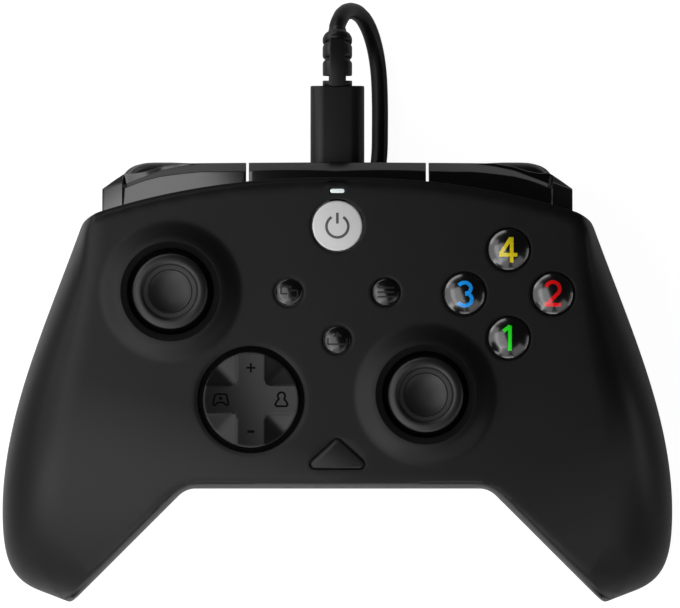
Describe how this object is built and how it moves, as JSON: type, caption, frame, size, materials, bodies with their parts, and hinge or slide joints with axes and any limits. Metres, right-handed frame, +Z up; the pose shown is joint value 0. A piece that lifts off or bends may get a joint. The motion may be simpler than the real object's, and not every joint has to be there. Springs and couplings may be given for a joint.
{
  "type": "gamepad controller",
  "caption": "Wired two-grip gamepad with offset thumbsticks, direction pad, face buttons, bumpers, triggers and a coiled detachable lead.",
  "frame": {"origin": "middle of the body's footprint on the table, lead left out", "axes": "+X player's right along the width, +Y away from the player towards the lead, +Z up out of the control face"},
  "size_m": [0.154, 0.138, 0.0574],
  "materials": {
    "shell_black": "fine matte texture",
    "gloss_black": "polished",
    "steel": "plain",
    "stick_rubber": "satin moulded",
    "dark_plastic": "satin",
    "silicone": "matt",
    "silver": "satin silver",
    "lens_white": "frosted",
    "board_green": "solder mask",
    "weight_metal": "sintered",
    "lead_black": "satin"
  },
  "bodies": {
    "housing": {"front_shell": "shell_black", "rear_shell": "shell_black", "bridge": "gloss_black", "status_lens": "lens_white", "headset_jack": "dark_plastic", "left_trigger_pin": "steel", "right_trigger_pin": "steel", "left_trigger_spring": "steel", "right_trigger_spring": "steel", "left_stick_housing": "steel", "right_stick_housing": "steel", "dpad_base": "shell_black", "dpad_membrane": "silicone", "face_membrane": "silicone", "main_board": "board_green", "tact_switches": "dark_plastic", "left_motor": "steel", "right_motor": "steel", "cable_port": "steel", "shell_screws": "steel", "board_screws": "steel", "lead_plug": "lead_black", "lead_boot": "lead_black", "lead_run": "lead_black", "lead_coil": "lead_black", "lead_tie": "lead_black", "lead_tail": "lead_black", "far_plug": "lead_black"},
    "left_bumper": {"left_bumper": "gloss_black"},
    "left_trigger": {"left_trigger": "shell_black"},
    "left_stick_lower": {"left_stick_lower_yoke": "dark_plastic"},
    "left_stick_upper": {"left_stick_upper_yoke": "dark_plastic"},
    "left_stick_gimbal": {"left_stick_pivot": "dark_plastic"},
    "left_stick": {"left_stick_shaft": "steel", "left_stick_cap": "stick_rubber"},
    "left_weight": {"left_weight": "weight_metal"},
    "right_bumper": {"right_bumper": "gloss_black"},
    "right_trigger": {"right_trigger": "shell_black"},
    "right_stick_lower": {"right_stick_lower_yoke": "dark_plastic"},
    "right_stick_upper": {"right_stick_upper_yoke": "dark_plastic"},
    "right_stick_gimbal": {"right_stick_pivot": "dark_plastic"},
    "right_stick": {"right_stick_shaft": "steel", "right_stick_cap": "stick_rubber"},
    "right_weight": {"right_weight": "weight_metal"},
    "dpad_ball": {"dpad_ball": "steel"},
    "dpad": {"dpad": "dark_plastic"},
    "face_button_1": {"face_button_1": "gloss_black"},
    "face_button_2": {"face_button_2": "gloss_black"},
    "face_button_3": {"face_button_3": "gloss_black"},
    "face_button_4": {"face_button_4": "gloss_black"},
    "guide_button": {"guide_button": "silver"},
    "view_button": {"view_button": "gloss_black"},
    "menu_button": {"menu_button": "gloss_black"},
    "share_button": {"share_button": "gloss_black"},
    "function_button": {"function_button": "dark_plastic"}
  },
  "joints": [
    {"name": "left_bumper_press", "type": "hinge", "parent": "housing", "child": "left_bumper", "pos_m": [-0.0236, 0.0433, 0.0373], "axis": [0, 0, 1], "range_deg": [0, 2], "stiffness_Nm_per_rad": 0.4, "springref_deg": -2.86},
    {"name": "left_trigger_pull", "type": "hinge", "parent": "housing", "child": "left_trigger", "pos_m": [-0.0384, 0.044, 0.0275], "axis": [-1, 0, 0], "range_deg": [0, 17], "stiffness_Nm_per_rad": 0.2, "springref_deg": -14.32},
    {"name": "left_stick_fore_aft", "type": "hinge", "parent": "housing", "child": "left_stick_lower", "pos_m": [-0.0382, 0.021, 0.0365], "axis": [1, 0, 0], "range_deg": [-17, 17], "stiffness_Nm_per_rad": 0.03},
    {"name": "left_stick_sideways", "type": "hinge", "parent": "left_stick_lower", "child": "left_stick_gimbal", "pos_m": [-0.0382, 0.021, 0.0365], "axis": [0, 1, 0], "range_deg": [-17, 17], "stiffness_Nm_per_rad": 0.03},
    {"name": "left_stick_click", "type": "slide", "parent": "left_stick_gimbal", "child": "left_stick", "axis": [0, 0, -1], "range_m": [0, 0.0005], "stiffness_N_per_m": 4000, "springref_m": -0.0003},
    {"name": "left_stick_arch", "type": "hinge", "parent": "housing", "child": "left_stick_upper", "pos_m": [-0.0382, 0.021, 0.0365], "axis": [0, 1, 0], "range_deg": [-17.5, 17.5]},
    {"name": "left_rumble_spin", "type": "hinge", "parent": "housing", "child": "left_weight", "pos_m": [-0.059, -0.01, 0.017], "axis": [0, 1, 0], "continuous": true},
    {"name": "right_bumper_press", "type": "hinge", "parent": "housing", "child": "right_bumper", "pos_m": [0.0236, 0.0433, 0.0373], "axis": [0, 0, -1], "range_deg": [0, 2], "stiffness_Nm_per_rad": 0.4, "springref_deg": -2.86},
    {"name": "right_trigger_pull", "type": "hinge", "parent": "housing", "child": "right_trigger", "pos_m": [0.0384, 0.044, 0.0275], "axis": [-1, 0, 0], "range_deg": [0, 17], "stiffness_Nm_per_rad": 0.2, "springref_deg": -14.32},
    {"name": "right_stick_fore_aft", "type": "hinge", "parent": "housing", "child": "right_stick_lower", "pos_m": [0.0202, -0.0026, 0.0365], "axis": [1, 0, 0], "range_deg": [-17, 17], "stiffness_Nm_per_rad": 0.03},
    {"name": "right_stick_sideways", "type": "hinge", "parent": "right_stick_lower", "child": "right_stick_gimbal", "pos_m": [0.0202, -0.0026, 0.0365], "axis": [0, 1, 0], "range_deg": [-17, 17], "stiffness_Nm_per_rad": 0.03},
    {"name": "right_stick_click", "type": "slide", "parent": "right_stick_gimbal", "child": "right_stick", "axis": [0, 0, -1], "range_m": [0, 0.0005], "stiffness_N_per_m": 4000, "springref_m": -0.0003},
    {"name": "right_stick_arch", "type": "hinge", "parent": "housing", "child": "right_stick_upper", "pos_m": [0.0202, -0.0026, 0.0365], "axis": [0, 1, 0], "range_deg": [-17.5, 17.5]},
    {"name": "right_rumble_spin", "type": "hinge", "parent": "housing", "child": "right_weight", "pos_m": [0.059, -0.01, 0.017], "axis": [0, 1, 0], "continuous": true},
    {"name": "dpad_up_down", "type": "hinge", "parent": "housing", "child": "dpad_ball", "pos_m": [-0.0198, -0.0038, 0.038], "axis": [1, 0, 0], "range_deg": [-4, 4], "stiffness_Nm_per_rad": 0.15},
    {"name": "dpad_left_right", "type": "hinge", "parent": "dpad_ball", "child": "dpad", "pos_m": [-0.0198, -0.0038, 0.038], "axis": [0, 1, 0], "range_deg": [-4, 4], "stiffness_Nm_per_rad": 0.15},
    {"name": "face_button_1_press", "type": "slide", "parent": "housing", "child": "face_button_1", "axis": [0, 0, -1], "range_m": [0, 0.0015], "stiffness_N_per_m": 500, "springref_m": -0.0005},
    {"name": "face_button_2_press", "type": "slide", "parent": "housing", "child": "face_button_2", "axis": [0, 0, -1], "range_m": [0, 0.0015], "stiffness_N_per_m": 500, "springref_m": -0.0005},
    {"name": "face_button_3_press", "type": "slide", "parent": "housing", "child": "face_button_3", "axis": [0, 0, -1], "range_m": [0, 0.0015], "stiffness_N_per_m": 500, "springref_m": -0.0005},
    {"name": "face_button_4_press", "type": "slide", "parent": "housing", "child": "face_button_4", "axis": [0, 0, -1], "range_m": [0, 0.0015], "stiffness_N_per_m": 500, "springref_m": -0.0005},
    {"name": "guide_button_press", "type": "slide", "parent": "housing", "child": "guide_button", "axis": [0, 0, -1], "range_m": [0, 0.0004], "stiffness_N_per_m": 3000, "springref_m": -0.0002},
    {"name": "view_button_press", "type": "slide", "parent": "housing", "child": "view_button", "axis": [0, 0, -1], "range_m": [0, 0.0004], "stiffness_N_per_m": 3000, "springref_m": -0.0002},
    {"name": "menu_button_press", "type": "slide", "parent": "housing", "child": "menu_button", "axis": [0, 0, -1], "range_m": [0, 0.0004], "stiffness_N_per_m": 3000, "springref_m": -0.0002},
    {"name": "share_button_press", "type": "slide", "parent": "housing", "child": "share_button", "axis": [0, 0, -1], "range_m": [0, 0.0004], "stiffness_N_per_m": 3000, "springref_m": -0.0002},
    {"name": "function_button_press", "type": "slide", "parent": "housing", "child": "function_button", "axis": [0, 0, -1], "range_m": [0, 0.0004], "stiffness_N_per_m": 3000, "springref_m": -0.0002}
  ],
  "couplings": [
    {"joint": "left_stick_arch", "follows": "left_stick_sideways", "ratio": 1},
    {"joint": "right_stick_arch", "follows": "right_stick_sideways", "ratio": 1}
  ]
}
